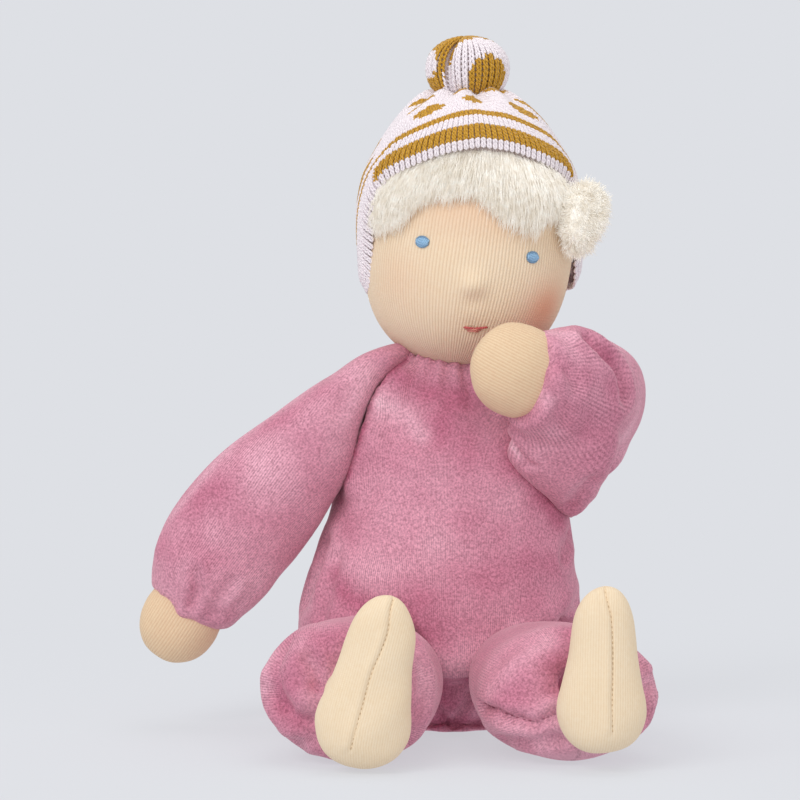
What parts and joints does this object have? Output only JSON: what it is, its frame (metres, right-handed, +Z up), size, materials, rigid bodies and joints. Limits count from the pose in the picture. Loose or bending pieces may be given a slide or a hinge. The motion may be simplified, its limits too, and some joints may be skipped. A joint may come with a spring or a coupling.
{
  "type": "waldorf doll",
  "caption": "Soft Waldorf doll sitting in a velour suit and a knitted hat with a bobble, with a jointed neck, arms, hands, legs and feet.",
  "frame": {"origin": "middle of the flat underside of the doll's seat", "axes": "+Z up, the doll faces -Y, +X towards the doll's left hand"},
  "size_m": [0.1823, 0.1668, 0.248],
  "materials": {
    "rose_velour": "brushed cotton velour, nap",
    "cream_velour": "soft cotton velour, matt",
    "skin_jersey": "fine ribbed cotton jersey, matt",
    "wool_filling": "carded sheep's wool, matt",
    "mohair_yarn": "brushed mohair yarn, fluffy",
    "patterned_knit": "hand-knitted wool in mustard and white bands",
    "blue_thread": "embroidery thread, satin",
    "red_thread": "embroidery thread, satin",
    "rose_thread": "sewing thread, matt",
    "white_thread": "strong cotton thread, matt"
  },
  "bodies": {
    "torso": {"torso_cover": "rose_velour", "torso_filling": "wool_filling"},
    "neck": {"neck_stalk": "wool_filling", "neck_thread": "white_thread"},
    "head": {"head_cover": "skin_jersey", "head_core": "wool_filling", "eye_line_thread": "white_thread", "nose_bead": "wool_filling", "right_eye": "blue_thread", "left_eye": "blue_thread", "mouth": "red_thread", "hair_fringe": "mohair_yarn", "hair_side_tuft": "mohair_yarn"},
    "hat": {"hat_crown": "patterned_knit", "hat_tie_thread": "white_thread", "bobble_cover": "patterned_knit", "bobble_filling": "wool_filling"},
    "right_upper_arm": {"right_upper_sleeve": "rose_velour", "right_upper_arm_filling": "wool_filling"},
    "right_forearm": {"right_lower_sleeve": "rose_velour", "right_forearm_filling": "wool_filling"},
    "right_hand": {"right_hand_cover": "skin_jersey", "right_hand_filling": "wool_filling", "right_wrist_thread": "rose_thread"},
    "right_leg": {"right_leg_cover": "rose_velour", "right_leg_filling": "wool_filling"},
    "right_foot": {"right_foot_cover": "cream_velour", "right_foot_filling": "wool_filling", "right_ankle_thread": "rose_thread"},
    "left_upper_arm": {"left_upper_sleeve": "rose_velour", "left_upper_arm_filling": "wool_filling"},
    "left_forearm": {"left_lower_sleeve": "rose_velour", "left_forearm_filling": "wool_filling"},
    "left_hand": {"left_hand_cover": "skin_jersey", "left_hand_filling": "wool_filling", "left_wrist_thread": "rose_thread"},
    "left_leg": {"left_leg_cover": "rose_velour", "left_leg_filling": "wool_filling"},
    "left_foot": {"left_foot_cover": "cream_velour", "left_foot_filling": "wool_filling", "left_ankle_thread": "rose_thread"}
  },
  "joints": [
    {"name": "neck_nod", "type": "hinge", "parent": "torso", "child": "neck", "pos_m": [-0.00015, 0, 0.11854], "axis": [-1, 0, 0], "range_deg": [0, 15]},
    {"name": "head_turn", "type": "hinge", "parent": "neck", "child": "head", "pos_m": [0.00068, 0, 0.12448], "axis": [0.1392, 0, 0.9903], "range_deg": [-30, 30]},
    {"name": "hat_lift", "type": "slide", "parent": "head", "child": "hat", "axis": [-0.0175, 0, 0.9998], "range_m": [0, 0.06]},
    {"name": "right_shoulder", "type": "hinge", "parent": "torso", "child": "right_upper_arm", "pos_m": [-0.031, 0, 0.115], "axis": [0, 1, 0], "range_deg": [0, 70]},
    {"name": "right_elbow", "type": "hinge", "parent": "right_upper_arm", "child": "right_forearm", "pos_m": [-0.05324, -0.00234, 0.09815], "axis": [-0.8022, -0.0006, 0.5971], "range_deg": [0, 60]},
    {"name": "right_wrist", "type": "hinge", "parent": "right_forearm", "child": "right_hand", "pos_m": [-0.09247, -0.00855, 0.04544], "axis": [-0.8022, -0.0006, 0.5971], "range_deg": [-15, 15]},
    {"name": "right_hip", "type": "hinge", "parent": "torso", "child": "right_leg", "pos_m": [-0.026, -0.028, 0.0248], "axis": [-1, 0, 0], "range_deg": [-80, 0]},
    {"name": "right_ankle", "type": "hinge", "parent": "right_leg", "child": "right_foot", "pos_m": [-0.0346, -0.10351, 0.0248], "axis": [-1, 0, 0], "range_deg": [-15, 12]},
    {"name": "left_shoulder", "type": "hinge", "parent": "torso", "child": "left_upper_arm", "pos_m": [0.031, 0, 0.115], "axis": [0, 0, 1], "range_deg": [0, 20]},
    {"name": "left_elbow", "type": "hinge", "parent": "left_upper_arm", "child": "left_forearm", "pos_m": [0.05331, 0.01621, 0.11014], "axis": [0.0217, 0.2068, 0.9781], "range_deg": [0, 80]},
    {"name": "left_wrist", "type": "hinge", "parent": "left_forearm", "child": "left_hand", "pos_m": [0.02989, -0.04339, 0.12613], "axis": [0.3684, 0.1032, 0.9239], "range_deg": [0, 20]},
    {"name": "left_hip", "type": "hinge", "parent": "torso", "child": "left_leg", "pos_m": [0.026, -0.028, 0.0248], "axis": [-1, 0, 0], "range_deg": [-80, 0]},
    {"name": "left_ankle", "type": "hinge", "parent": "left_leg", "child": "left_foot", "pos_m": [0.04439, -0.10174, 0.0248], "axis": [-1, 0, 0], "range_deg": [-15, 12]}
  ]
}
